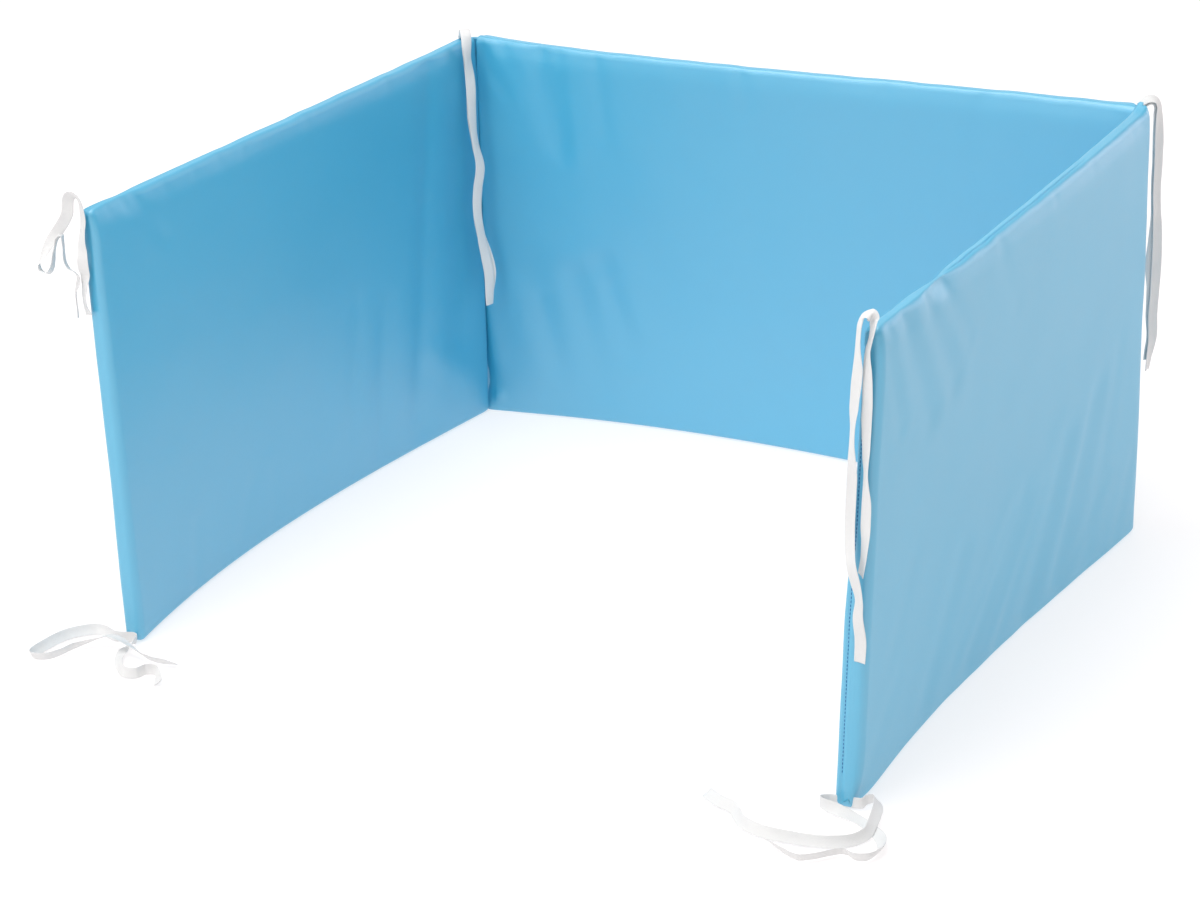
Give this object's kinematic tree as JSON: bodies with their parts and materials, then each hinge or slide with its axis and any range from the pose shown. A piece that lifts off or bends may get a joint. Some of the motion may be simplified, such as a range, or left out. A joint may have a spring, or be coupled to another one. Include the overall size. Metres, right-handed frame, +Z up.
{
  "type": "padded crib bumper",
  "caption": "Folding padded bumper that stands in a U round the inside of a crib, with rounded rims, sewn fold corners and tape ties.",
  "frame": {"origin": "middle of the footprint's box, on the surface that the bumper stands on", "axes": "+Z up, +X along the back pad to the right as seen from the open side, +Y from the open side to the back pad"},
  "size_m": [0.8014, 0.7404, 0.4139],
  "materials": {
    "cover": "smooth closely woven sky-blue cloth with a soft satin coating",
    "tape": "matt white woven twill tape"
  },
  "bodies": {
    "root": {"left_panel": "cover", "back_panel": "cover", "right_panel": "cover", "left_fold_web": "cover", "right_fold_web": "cover", "left_end_top_tie": "tape", "left_fold_tie": "tape", "right_fold_tie": "tape", "right_end_top_tie": "tape", "left_end_floor_tie": "tape", "right_end_floor_tie": "tape"}
  },
  "joints": []
}
